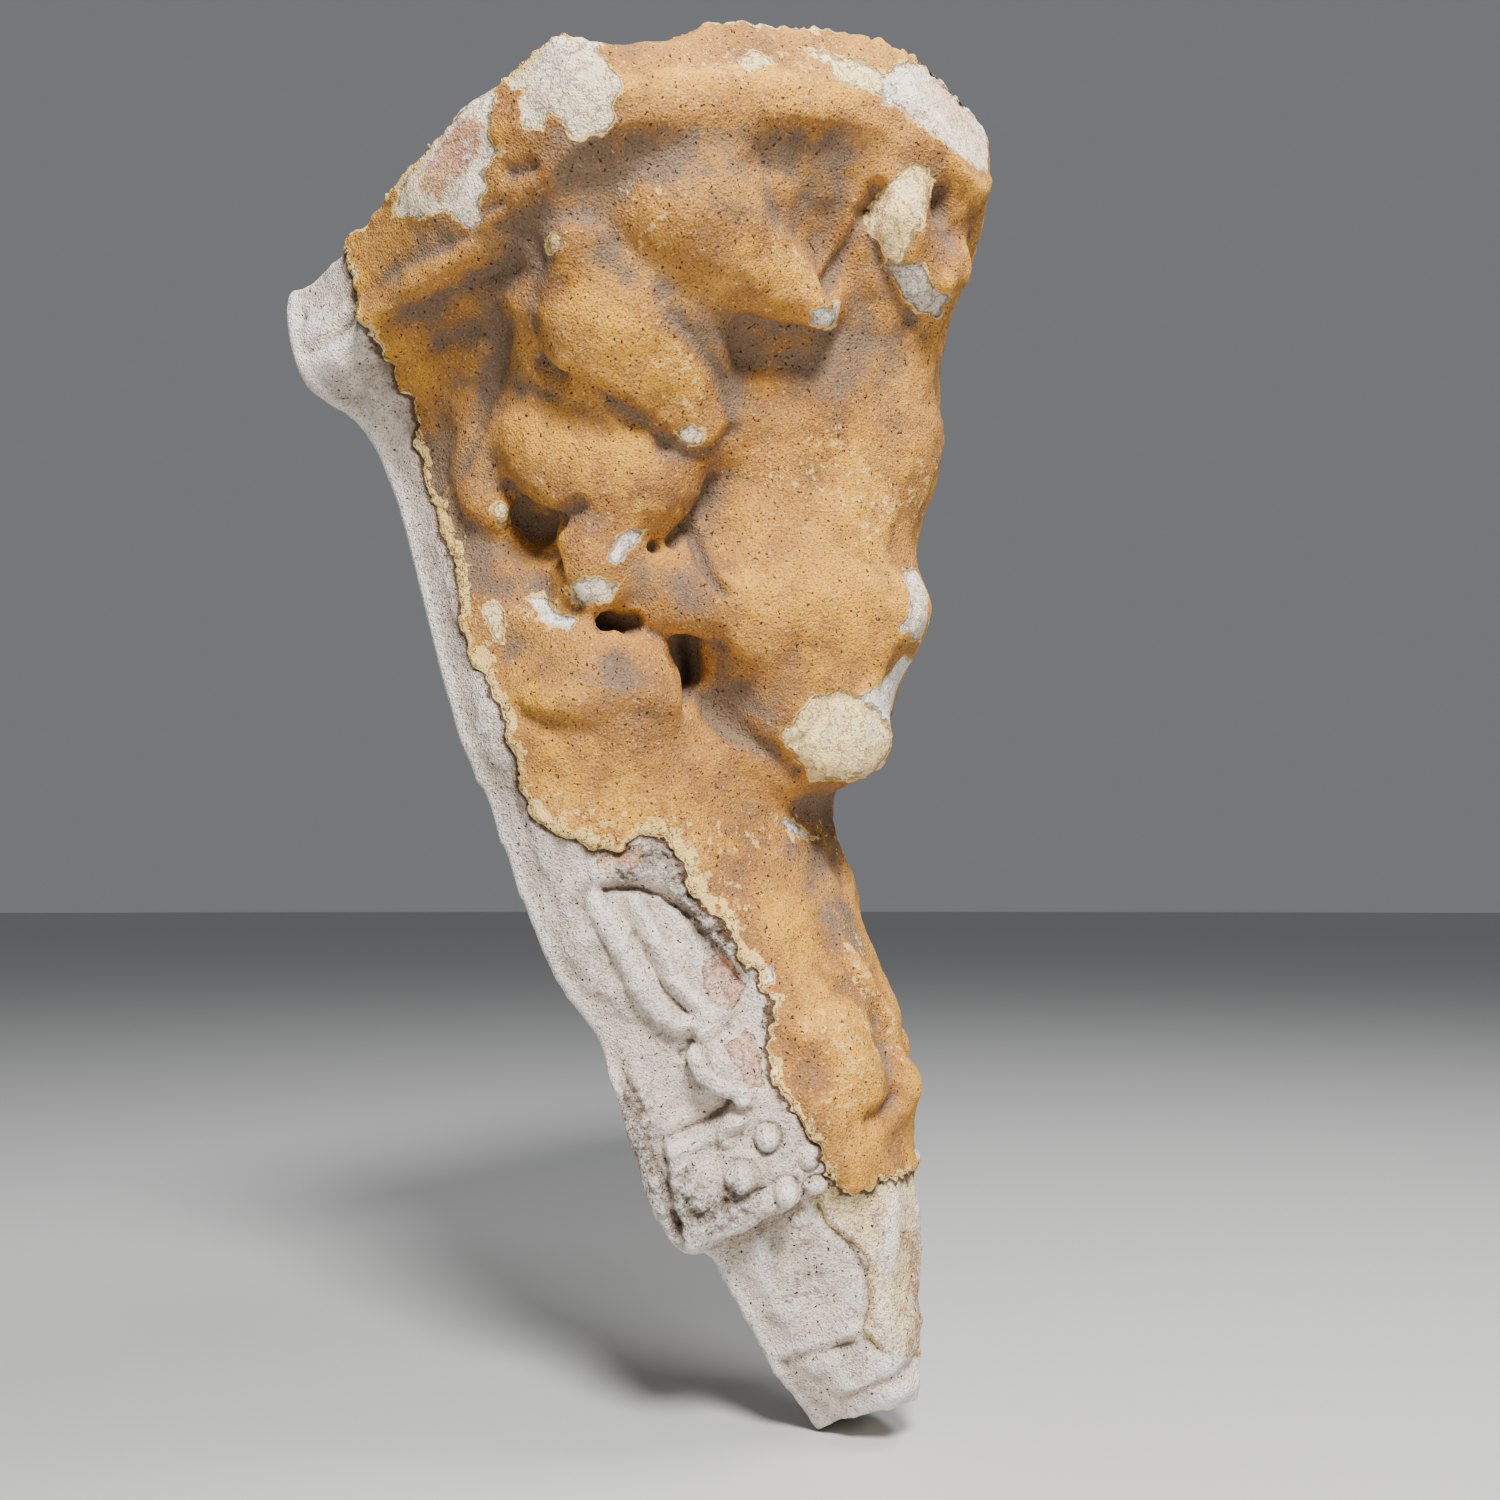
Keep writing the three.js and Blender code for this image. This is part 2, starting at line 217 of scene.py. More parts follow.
# Dips of the worn top edge: point in pixels, radius in mm and drop in mm
DIPS = {
    "middle": ((640, 45), 30, 10),
    "beside horn": ((602, 52), 18, 5),
    "before peak": ((690, 40), 16, 4),
    "behind horn": ((520, 75), 16, 3),
    "right": ((790, 40), 22, 2),
    "left band": ((410, 185), 16, 2),
}

# Grooves and pits: points in pixels, radius in mm and depth in mm
GROOVES = {
    "petal seam": ([(536, 362), (557, 376), (577, 386), (615, 407), (645, 427), (664, 442)], 7, 5),
    "petal side": ([(540, 258), (533, 290), (531, 320), (534, 352)], 9, 2.5),
    "petal end": ([(664, 447), (690, 458), (712, 452), (734, 436)], 6, 3),
    "petal right": ([(735, 425), (728, 385), (700, 345), (660, 300)], 7, 2),
    "curl hole": ([(520, 517), (535, 525), (548, 527)], 9, 7),
    "petal foot": ([(508, 488), (522, 503), (560, 520), (578, 508)], 6, 4),
    "small hole": ([(653, 547), (657, 545)], 3.5, 6),
    "crevice": ([(712, 480), (702, 505), (689, 524), (672, 541)], 4, 5.5),
    "crevice fork": ([(690, 526), (695, 542), (702, 560), (714, 580), (724, 592)], 3.6, 5),
    "beak side": ([(560, 525), (554, 552), (560, 580), (574, 606)], 7, 4),
    "strap hole": ([(600, 622), (615, 626), (632, 622)], 6, 7),
    "strap foot": ([(634, 625), (655, 634), (672, 640), (698, 642)], 4, 1.5),
    "leaf hole": ([(683, 643), (687, 655), (692, 672)], 7, 9),
    "leaf side": ([(694, 684), (712, 708), (735, 732), (765, 752), (795, 775)], 9, 5),
    "lobe side": ([(686, 660), (692, 690), (688, 708)], 6, 4),
    "lobe foot": ([(640, 716), (660, 724)], 6, 1),
    "pointed foot": ([(745, 318), (783, 330), (832, 336)], 7, 2.5),
    "rib hole": ([(880, 190), (872, 205), (867, 214)], 6, 11),
    "rib crease": ([(867, 214), (850, 243), (833, 273), (828, 292)], 5, 5),
    "rib side": ([(867, 225), (878, 262), (896, 300), (915, 322)], 5.5, 3),
    "far pit": ([(938, 196), (941, 216)], 5.5, 8),
    "rim pit": ([(508, 172), (530, 168)], 6, 3),
    "rim dent": ([(478, 208), (500, 203)], 6, 2),
    "hollow a": ([(352, 300), (400, 262), (470, 232)], 10, 3),
    "hollow b": ([(378, 340), (440, 302), (510, 268)], 10, 4),
    "hollow c": ([(392, 372), (430, 350), (470, 330)], 10, 3),
    "neck fold": ([(505, 330), (498, 380), (480, 420), (462, 470)], 9, 2),
    "boss foot": ([(900, 1095), (888, 1112), (872, 1120)], 7, 4),
    "trunk dip": ([(797, 1009), (820, 1005), (842, 990)], 9, 2),
    "ridge gutter": ([(622, 905), (645, 952), (662, 990), (690, 1016)], 5.5, 3),
    "collar ledge": ([(660, 1140), (696, 1127), (730, 1110)], 4.5, 4),
    "collar foot": ([(704, 1256), (748, 1237), (798, 1213)], 4.6, 7),
    "foot step": ([(770, 1374), (788, 1363), (828, 1353), (862, 1341)], 5, 4),
    "toe step": ([(838, 1404), (868, 1394), (901, 1380), (922, 1360)], 5.5, 3),
    "shaft crack": ([(820, 1212), (828, 1229), (854, 1247), (870, 1275), (870, 1310), (862, 1335),
                     (878, 1352)], 3, 3.5),
    "mortar crack": ([(596, 1031), (611, 1063), (633, 1097), (642, 1112)], 3.2, 3),
    "lump crack": ([(654, 1160), (663, 1200), (676, 1238)], 3.4, 4),
    "bud foot": ([(690, 1034), (679, 1054), (692, 1086), (724, 1108), (745, 1112)], 4, 4),
    "second gutter": ([(650, 900), (682, 945), (702, 985)], 6, 2.5),
    "collar band": ([(672, 1222), (720, 1208), (770, 1190)], 4, 1.5),
    "collar side": ([(661, 1150), (666, 1190), (680, 1238)], 3.6, 5),
    "back groove": ([(300, 352), (345, 322)], 5, 3),
    "back pit": ([(297, 312), (299, 314)], 3.5, 4),
    "ledge crack": ([(605, 888), (640, 886), (664, 893), (688, 915), (716, 950), (738, 978)], 3, 5),
    "strip seam": ([(512, 800), (530, 860), (560, 920)], 4, 1.5),
    "tip crack": ([(793, 744), (810, 735), (824, 716), (828, 698), (858, 700), (876, 712),
                   (892, 732)], 3, 2),
}
MIRRORED_GROOVES = ["petal seam", "petal side", "curl hole", "petal foot", "beak side", "strap hole",
                    "leaf side"]

# Soft ridges and knobs: points in pixels, radius in mm and rise in mm
RIDGES = {
    "stem arris": ([(846, 940), (870, 985), (893, 1030), (902, 1060)], 8, 1.5),
    "rim lip": ([(640, 100), (700, 92), (780, 92), (840, 100)], 18, 1.5),
    "rim knob": ([(945, 285)], 7, 3),
    "curl knob": ([(503, 514)], 7, 2.5),
    "petal lip": ([(558, 236), (575, 230), (596, 236)], 6, 1.5),
    "left band": ([(470, 120), (440, 160), (420, 195)], 13, 2),
    "shaft bump a": ([(922, 1208)], 6, 2),
    "shaft bump b": ([(924, 1268)], 7, 3),
    "shaft bump c": ([(926, 1326)], 8, 1),
}

# Crisp rolls and beads of the bared plaster, and the rolls that both flanks have: points in pixels,
# radius in mm and rise in mm
ROLLS = {
    "outer scroll": ([(594, 900), (618, 946), (643, 996), (670, 1026), (703, 1028), (724, 1010)], 5.4, 3.8),
    "inner scroll": ([(636, 904), (659, 948), (673, 984), (698, 1008)], 4.6, 3),
    "third scroll": ([(674, 920), (700, 964), (716, 990)], 6, 2),
    "bud rim": ([(688, 1052), (698, 1074), (722, 1093), (746, 1097)], 4, 2.4),
    "fold": ([(743, 1106), (734, 1120), (728, 1136)], 4.5, 3),
    "collar top": ([(670, 1148), (700, 1136), (738, 1119)], 5, 4),
    "collar block": ([(684, 1190), (706, 1180), (728, 1172)], 15, 3.5),
    "collar roll": ([(694, 1238), (740, 1219), (786, 1197)], 7, 5.5),
    "ledge": ([(600, 872), (655, 872), (690, 895), (722, 938), (745, 968)], 6, 2.5),
    "foot rim": ([(772, 1366), (826, 1344), (860, 1334)], 4, 1.5),
}
BEADS = {
    "first bead": ([(767, 1139)], 7.5, 4.6),
    "second bead": ([(786, 1190)], 6.8, 4),
    "disc": ([(741, 1178)], 9, 3.6),
    "third bead": ([(810, 1158)], 7, 3),
    "fourth bead": ([(818, 1190)], 7, 3),
}
MIRRORED_ROLLS = ["outer scroll", "inner scroll", "collar roll"]

# Where the paint is lighter and yellower (1) or darker and more mauve (-1), and the bared plaster darker
# (-1): points in pixels, radius in mm and tone
# Partly the paint's own tints, partly painted highlight on crests and painted shade in recesses, soffits
# and under the lobes
TINT_LIGHT_AND_SHADE = {
    "left hollow": ([(505, 320), (497, 380), (480, 430), (470, 480)], 24, -1),
    "beak recess": ([(480, 560), (510, 575), (540, 585)], 18, -1),
    "bulge top": ([(680, 182), (720, 190), (766, 215)], 16, -0.8),
    "pointed shade": ([(700, 310), (740, 330), (790, 345)], 16, -0.4),
    "petal edge": ([(600, 262), (650, 287), (690, 325), (722, 365), (738, 410)], 13, -0.9),
    "petal knob": ([(548, 240), (578, 226), (600, 245)], 11, -0.9),
    "petal seam": ([(520, 380), (560, 400), (600, 412)], 12, -0.7),
    "strap": ([(640, 585), (690, 600)], 18, -0.8),
    "blunt lobe": ([(600, 670), (650, 690)], 20, -0.7),
    "crevice": ([(700, 500), (690, 540), (715, 585)], 15, -0.9),
    "nose side": ([(905, 350), (900, 420)], 20, -0.7),
    "leaf shoulder": ([(830, 380), (880, 330)], 26, -0.5),
    "stem arris": ([(790, 850), (830, 880), (850, 930)], 16, -0.9),
    "rim soffit": ([(560, 165), (640, 150), (740, 150), (830, 165)], 28, -0.8),
    "left soffit": ([(400, 300), (450, 260), (500, 240)], 32, -0.9),
    "leaf hollow": ([(715, 640), (740, 690), (775, 735)], 16, -0.8),
    "bare strip": ([(430, 470), (450, 600), (480, 740), (520, 860), (560, 960)], 26, -0.8),
    "back end": ([(310, 390), (350, 400)], 26, -0.5),
    "petal crest": ([(590, 300), (630, 345), (680, 385)], 20, 1),
    "lower crest": ([(530, 430), (580, 445), (630, 455)], 18, 1),
    "beak": ([(620, 500), (640, 520)], 12, 0.5),
    "beak end": ([(585, 545), (590, 590)], 14, -0.4),
    "leaf": ([(860, 470), (860, 560), (850, 640)], 38, 0.9),
    "leaf middle": ([(740, 540), (760, 600)], 30, 0.6),
    "trunk": ([(560, 780), (620, 800), (700, 850)], 28, 0.8),
    "stem": ([(790, 920), (850, 1050), (870, 1150)], 26, 1),
    "rim low end": ([(360, 260), (380, 330), (410, 370)], 16, 0.8),
    "rim face": ([(650, 80), (760, 85), (840, 95)], 18, 0.7),
    "low lump": ([(480, 660), (520, 700)], 18, 0.9),
    "low lump top": ([(520, 640), (600, 660)], 18, -0.5),
    "pointed lobe": ([(750, 255), (795, 285)], 16, 0.7),
}

# Where the paint is scuffed through to the cream coat: points in pixels and radius in mm
SCUFFS = {
    "leaf": ([(835, 450), (880, 490), (870, 520)], 24),
    "petal": ([(655, 345), (690, 385)], 22),
    "upper bulge": ([(645, 195), (652, 240)], 14),
    "pointed lobe": ([(780, 250), (810, 268)], 14),
    "low lump": ([(525, 605), (560, 618)], 16),
    "boss": ([(830, 1020), (850, 1080)], 22),
    "trunk": ([(650, 830), (760, 840), (800, 830)], 16),
    "stem arris": ([(846, 940), (870, 985), (895, 1050)], 14),
    "nose": ([(920, 470), (918, 540)], 16),
    "rim face": ([(700, 70), (760, 60), (820, 60)], 16),
    "stain": ([(794, 1231), (804, 1252), (817, 1273), (800, 1290), (780, 1315)], 9),
    "coat edge": ([(445, 500), (465, 600), (500, 720), (520, 790)], 12),
    "broken edge": ([(550, 810), (600, 825), (670, 822), (710, 870), (755, 950)], 15),
}

# Outline of the bare plaster, up the back edge and down where the paint has broken away
BARE = [
    (338, 235), (350, 262), (353, 307), (373, 345), (396, 385), (412, 399), (414, 434), (422, 462),
    (426, 488), (436, 508), (439, 526), (454, 560), (459, 594), (461, 623), (468, 655), (482, 675),
    (494, 698), (506, 722), (508, 748), (517, 780), (530, 812), (545, 828), (560, 832), (589, 847),
    (621, 852), (640, 840), (667, 837), (676, 848), (682, 868), (692, 891), (710, 910), (727, 934),
    (739, 961), (754, 975), (771, 1003), (767, 1031), (773, 1063), (788, 1099), (805, 1126),
    (819, 1143), (829, 1169), (839, 1194), (853, 1198), (873, 1189), (887, 1179), (904, 1177),
    (935, 1160), (1050, 1200), (1050, 1600), (100, 1600), (100, 235),
]

# Outline of the finely carved part of the bared plaster, in pixels
FINE = [(590, 862), (690, 845), (770, 980), (850, 1180), (800, 1222), (700, 1262), (640, 1240), (592, 1000)]

# Rough mortar on the bared side: points in pixels and radius in mm
MORTAR = {
    "lump": ([(625, 1110), (645, 1170), (668, 1225)], 16),
    "collar": ([(675, 1185), (700, 1215), (735, 1200)], 14),
    "ledge": ([(625, 872), (668, 855), (690, 905), (722, 948)], 9),
}


def srgb(red, green, blue):
    """A colour as shaders take it, from the 0 to 255 of a paint chart."""
    parts = [part / 255 for part in (red, green, blue)]
    linear = [part / 12.92 if part < 0.04045 else ((part + 0.055) / 1.055) ** 2.4 for part in parts]
    return (*linear, 1)


OCHRE = srgb(200, 148, 84)
OCHRE_DEEP = srgb(166, 120, 74)
# The paint's own yellow and mauve tints, also used for painted highlight on crests and painted shade in
# hollows
YELLOW = srgb(224, 168, 82)
MAUVE = srgb(140, 118, 98)
# Grime in the pores, and painted shade in the deepest hollows
GRIME_AND_SHADE = srgb(58, 44, 32)
SAND_DARK = srgb(104, 76, 50)
SAND_LIGHT = srgb(240, 212, 168)
CREAM = srgb(252, 226, 166)
LAYER = srgb(234, 202, 136)
PLASTER = srgb(238, 222, 206)
# Plaster stains, also used for painted shade on the back strip, in hollows and along the torn edge
PLASTER_DULL = srgb(186, 170, 156)
PLASTER_DARK = srgb(120, 106, 92)
MORTAR_GREY = srgb(166, 152, 140)
PALE = srgb(252, 236, 214)
PINK = srgb(208, 158, 132)
GREY = srgb(208, 196, 180)
WHITE = srgb(250, 244, 238)
FLOOR_GREY = srgb(206, 206, 204)
STUDIO_GREY = (0.75, 0.77, 0.8, 1)

# The floor's radius, the point that the lights face, and the strength of the light all round
FLOOR_RADIUS = 30
LIT = Vector((0, -0.08, -0.05))
AMBIENT = 0.24

# Flakes, each with its under coat: outlines in pixels
FLAKES = {
    "band": (PALE, [
        (397, 204), (400, 189), (417, 164), (427, 149), (440, 115), (470, 85), (494, 84), (494, 97),
        (492, 109), (490, 137), (502, 152), (489, 162), (482, 172), (484, 189), (477, 204), (479, 221),
        (468, 226), (457, 219), (452, 211), (437, 209), (422, 219), (395, 214),
    ]),
    "horn": (PALE, [
        (504, 80), (520, 45), (550, 20), (579, 22), (604, 50), (616, 72), (619, 87), (611, 109),
        (614, 119), (604, 132), (579, 137), (564, 132), (564, 119), (549, 112), (541, 129), (522, 132),
        (520, 109), (522, 90), (509, 85),
    ]),
    "rim left": (CREAM, [
        (811, 50), (827, 50), (848, 58), (872, 66), (885, 75), (880, 95), (868, 89), (848, 85),
        (836, 83), (829, 73), (827, 63), (815, 57),
    ]),
    "rim": (PALE, [
        (885, 78), (898, 62), (917, 60), (957, 75), (985, 100), (1000, 150), (992, 172), (971, 162),
        (951, 148), (927, 131), (910, 117), (896, 105), (884, 103),
    ]),
    "rib": (CREAM, [
        (866, 224), (872, 208), (884, 188), (898, 172), (914, 165), (925, 170), (932, 180), (928, 198),
        (922, 218), (912, 240), (900, 268), (890, 262), (882, 248),
    ]),
    "rib low": (GREY, [
        (898, 266), (912, 262), (924, 266), (936, 292), (952, 296), (950, 306), (940, 318), (917, 316),
        (900, 296), (884, 268),
    ]),
    "tip": (CREAM, [
        (785, 738), (796, 722), (813, 698), (839, 690), (862, 697), (880, 708), (893, 728), (900, 747),
        (885, 770), (853, 780), (810, 781), (796, 762),
    ]),
    "tip side": (WHITE, [
        (862, 699), (873, 690), (905, 655), (915, 665), (900, 701), (896, 730), (878, 712),
    ]),
    "nodule": (PALE, [
        (905, 572), (925, 565), (940, 600), (935, 640), (915, 642), (902, 630), (912, 605),
    ]),
    "shaft": (CREAM, [
        (835, 1188), (853, 1196), (873, 1187), (887, 1177), (904, 1175), (940, 1160), (950, 1350),
        (900, 1360), (880, 1354), (862, 1335), (869, 1312), (872, 1292), (867, 1260), (854, 1247),
        (828, 1231), (818, 1212), (808, 1206), (826, 1192),
    ]),
    "shaft ochre": (OCHRE, [
        (904, 1232), (940, 1232), (940, 1352), (905, 1358), (916, 1330), (910, 1290), (916, 1260),
    ]),
    "band pink": (PINK, [(420, 190), (436, 150), (470, 120), (488, 125), (470, 165), (440, 200)]),
    "pink": (PINK, [(592, 858), (640, 850), (640, 864), (606, 874)]),
    "peach": (PINK, [(703, 958), (730, 958), (742, 985), (732, 1017), (710, 997)]),
    "bud": (PINK, [(722, 1040), (746, 1027), (763, 1053), (768, 1087), (749, 1092), (741, 1067)]),
    "beak chip": (PALE, [
        (566, 590), (576, 580), (600, 578), (616, 584), (610, 600), (585, 608), (570, 604),
    ]),
    "beak smear": (WHITE, [(608, 560), (612, 545), (628, 527), (645, 528), (636, 545), (618, 563)]),
    "curl chip": (CREAM, [(490, 508), (500, 502), (516, 510), (514, 524), (498, 526)]),
    "pointed chip": (WHITE, [(810, 308), (834, 305), (836, 322), (826, 331), (812, 324)]),
    "knob chip": (CREAM, [(543, 250), (556, 232), (566, 232), (562, 246), (548, 256)]),
    "petal chip": (PALE, [(678, 434), (692, 426), (706, 434), (704, 446), (688, 448)]),
    "coat chip": (CREAM, [(484, 606), (498, 602), (508, 612), (500, 640), (492, 636)]),
    "lump smear": (WHITE, [(528, 600), (545, 598), (556, 612), (578, 618), (570, 630), (545, 624)]),
    "rim chip": (CREAM, [(742, 58), (755, 52), (768, 60), (760, 72), (746, 70)]),
    "stem chip": (WHITE, [(758, 968), (770, 968), (776, 984), (764, 988)]),
    "trunk chip": (WHITE, [(783, 820), (800, 826), (815, 838), (800, 838)]),
}


def view_axes():
    """Right, down and forward of the view, in the casting's own frame."""
    forward = Vector((
        math.sin(VIEW_TURN) * math.cos(VIEW_LIFT),
        math.cos(VIEW_TURN) * math.cos(VIEW_LIFT),
        math.sin(VIEW_LIFT),
    ))
    right = Vector((math.cos(VIEW_TURN), -math.sin(VIEW_TURN), 0))
    lean = Matrix.Rotation(LEAN, 3, "X")
    return [lean @ axis for axis in (right, forward.cross(right), forward)]


RIGHT, DOWN, FORWARD = view_axes()


def ray(x, y):
    """Direction of the line of sight through a pixel."""
    return (FORWARD * LENS_PX + RIGHT * (x - IMAGE / 2) + DOWN * (y - IMAGE / 2)).normalized()


def on_image(places):
    """The pixels where places show, and the size of a pixel there."""
    away = places - np.array(EYE)
    depth = away @ np.array(FORWARD)
    across = away @ np.array([RIGHT, DOWN]).T
    return IMAGE / 2 + LENS_PX * across / depth[:, None], depth / LENS_PX


def seen_at(tree, x, y):
    """The place that shows at a pixel, or the nearest one where the pixel misses the casting."""
    place, normal, _, _ = tree.ray_cast(EYE, ray(x, y))
    if place is None:
        place, normal, _, _ = tree.find_nearest(EYE + ray(x, y) * ARM)
    return place, normal


def is_seen(tree, place):
    """Whether a place shows in the view, or lies just behind what shows."""
    away = Vector(place) - EYE
    reach = tree.ray_cast(EYE, away.normalized())[3]
    return reach is None or reach > away.length - BEHIND


def is_open(tree, place):
    """Whether only the background shows at a place."""
    return tree.ray_cast(EYE, (Vector(place) - EYE).normalized())[3] is None


def mirrored(tree, place):
    """The like place on the other flank."""
    return tree.find_nearest(Vector((-place.x, place.y, place.z)))[:2]


def path(tree, points, flip=False):
    """Places on the casting under a line of pixels."""
    stops = [points[0]]
    for (x1, y1), (x2, y2) in zip(points, points[1:]):
        count = max(1, round(math.hypot(x2 - x1, y2 - y1) / PATH_STEP))
        stops += [(x1 + (x2 - x1) * n / count, y1 + (y2 - y1) * n / count) for n in range(1, count + 1)]
    places = [seen_at(tree, x, y)[0] for x, y in stops]
    if flip:
        places = [mirrored(tree, place)[0] for place in places]
    return np.array(places)


def from_line(line, spots):
    """Distance of each spot from a line of points."""
    near = np.linalg.norm(spots - line[0], axis=1)
    for start, end in zip(line, line[1:]):
        along = end - start
        share = np.clip((spots - start) @ along / max(along @ along, 1e-12), 0, 1)
        near = np.minimum(near, np.linalg.norm(spots - start - share[:, None] * along, axis=1))
    return near


def inside_by(outline, spots):
    """How far spots lie inside an outline, negative outside."""
    ends = np.array(outline, float)
    near = from_line(np.vstack([ends, ends[:1]]), spots)
    within = np.zeros(len(spots), bool)
    for (x1, y1), (x2, y2) in zip(ends, np.roll(ends, -1, axis=0)):
        if y1 != y2:
            level = (y1 > spots[:, 1]) != (y2 > spots[:, 1])
            within ^= level & (spots[:, 0] < x1 + (spots[:, 1] - y1) * (x2 - x1) / (y2 - y1))
    return np.where(within, near, -near)


def dome(distance, radius):
    """1 on a line, falling smoothly to 0 at the radius in mm."""
    return np.clip(1 - (distance / (radius * MM)) ** 2, 0, 1) ** 2


def wedge(distance, radius):
    """1 on a line, falling steeply to 0 at the radius in mm."""
    return np.clip(1 - distance / (radius * MM), 0, 1) ** 1.3


def roll(distance, radius):
    """1 on a line, falling round and steep to 0 at the radius in mm."""
    return np.clip(1 - (distance / (radius * MM)) ** 2, 0, 1) ** 0.7


def bead(distance, radius):
    """A ball, round and steep, in a shallow well that ends at the radius in mm."""
    well = dome(np.abs(distance - WELL_AT * radius * MM), WELL_HALF * radius)
    return roll(distance, BALL * radius) - WELL_DEPTH * well


def along(shape, line, places, radius):
    """A dome, roll, bead or wedge along a line, at each place."""
    margin = radius * MM
    near = np.all((places > line.min(axis=0) - margin) & (places < line.max(axis=0) + margin), axis=1)
    share = np.zeros(len(places))
    share[near] = shape(from_line(line, places[near]), radius)
    return share


def ramp(values, low, high):
    """0 below low, 1 above high and smooth between."""
    share = np.clip((values - low) / (high - low), 0, 1)
    return share * share * (3 - 2 * share)


def rough(places, size, octaves=1):
    """Noise between about -1 and 1, with lumps of a size in mm."""
    spots = (places / (size * MM)).tolist()
    if octaves == 1:
        return np.array([noise.noise(spot) for spot in spots])
    return np.array([noise.fractal(spot, FADE, FINER, octaves) for spot in spots])


def uneven(places, layers):
    """Lumps of several sizes laid over each other, in mm."""
    return sum(rise * rough(places, size, octaves) for size, rise, octaves in layers)


def lay_form(bm, tree, points, flip):
    """Lay a chain of flat ovals over the casting."""
    stops = []
    for x, y, half_width, rise in points:
        place, normal = seen_at(tree, x, y)
        if flip:
            place, normal = mirrored(tree, place)
        stops.append((place, normal, half_width * MM, rise * MM))
    for near, far in zip(stops, stops[1:]):
        count = max(1, math.ceil((far[0] - near[0]).length / (OVAL_STEP * min(near[2], far[2]))))
        for step in range(count + 1):
            share = step / count
            place = tree.find_nearest(near[0].lerp(far[0], share))[0]
            normal = near[1].lerp(far[1], share).normalized()
            half_width = near[2] + (far[2] - near[2]) * share
            rise = near[3] + (far[3] - near[3]) * share
            thickness = max(OVAL_DEPTH * rise, OVAL_LEAST)
            matrix = (Matrix.Translation(place + normal * (rise - thickness))
                      @ normal.to_track_quat("Z", "Y").to_matrix().to_4x4()
                      @ Matrix.Diagonal((half_width, half_width, thickness, 1)))
            bmesh.ops.create_icosphere(bm, subdivisions=3, radius=1, matrix=matrix)


def link(name, bm):
    """Make an object of a bmesh and put it in the scene."""
    mesh = bpy.data.meshes.new(name)
    bm.to_mesh(mesh)
    bm.free()
    piece = bpy.data.objects.new(name, mesh)
    bpy.context.scene.collection.objects.link(piece)
    return piece


def fused_forms():
    """The CAD solid with the swelling forms laid on it, as one closed mesh of even faces."""
    source = next(o for o in bpy.data.objects if o.name == "pilaster_section")
    bm = bmesh.new()
    bm.from_mesh(source.data)
    bmesh.ops.remove_doubles(bm, verts=bm.verts, dist=0.01 * MM)
    tree = BVHTree.FromBMesh(bm)
    for name, points in FORMS.items():
        lay_form(bm, tree, points, False)
        if name in MIRRORED_FORMS:
            lay_form(bm, tree, points, True)
    piece = link("casting", bm)
    remesh = piece.modifiers.new("remesh", "REMESH")
    remesh.mode = "VOXEL"
    remesh.voxel_size = FACE
    bpy.context.view_layer.update()
    shaped = bpy.data.meshes.new_from_object(piece.evaluated_get(bpy.context.evaluated_depsgraph_get()))
    piece.modifiers.clear()
    piece.data = shaped
    return piece


def read_mesh(mesh):
    """The place and the normal of each vertex."""
    places = np.empty(len(mesh.vertices) * 3)
    normals = np.empty(len(mesh.vertices) * 3)
    mesh.vertices.foreach_get("co", places)
    mesh.vertex_normals.foreach_get("vector", normals)
    return places.reshape(-1, 3), normals.reshape(-1, 3)


def write_mesh(mesh, places):
    """Put the vertices back, inside the box of the CAD solid."""
    mesh.vertices.foreach_set("co", np.clip(places, LOW, HIGH).ravel())
    mesh.update()


def tree_of(mesh):
    """A tree that finds where lines of sight meet the mesh."""
    bm = bmesh.new()
    bm.from_mesh(mesh)
    tree = BVHTree.FromBMesh(bm)
    bm.free()
    return tree


def shift_by(mesh, tree, strokes, shape, flipped=()):
    """How far strokes move each vertex along its normal."""
    places, _ = read_mesh(mesh)
    shift = np.zeros(len(places))
    for name, (points, radius, rise) in strokes.items():
        for flip in [False] + [True] * (name in flipped):
            shift += rise * MM * along(shape, path(tree, points, flip), places, radius)
    return shift


def soften(mesh):
    """Smooth the steps where the laid forms meet the casting."""
    bm = bmesh.new()
    bm.from_mesh(mesh)
    for _ in range(SOFTEN_ROUNDS):
        bmesh.ops.smooth_vert(bm, verts=bm.verts, factor=0.5, use_axis_x=True, use_axis_y=True,
                              use_axis_z=True)
    bm.to_mesh(mesh)
    bm.free()


def correct_form(mesh):
    """Make the broad corrections, and wear down the top edge."""
    tree = tree_of(mesh)
    places, normals = read_mesh(mesh)
    places += normals * shift_by(mesh, tree, PULLS, dome)[:, None]
    for (x, y), radius, drop in DIPS.values():
        place = np.array(seen_at(tree, x, y)[0])
        level = np.hypot(places[:, 0] - place[0], places[:, 1] - place[1])
        upper = ramp(places[:, 2], TOP - DIP_FROM, TOP - DIP_FULL)
        places[:, 2] -= drop * MM * dome(level, radius) * upper
    write_mesh(mesh, places)


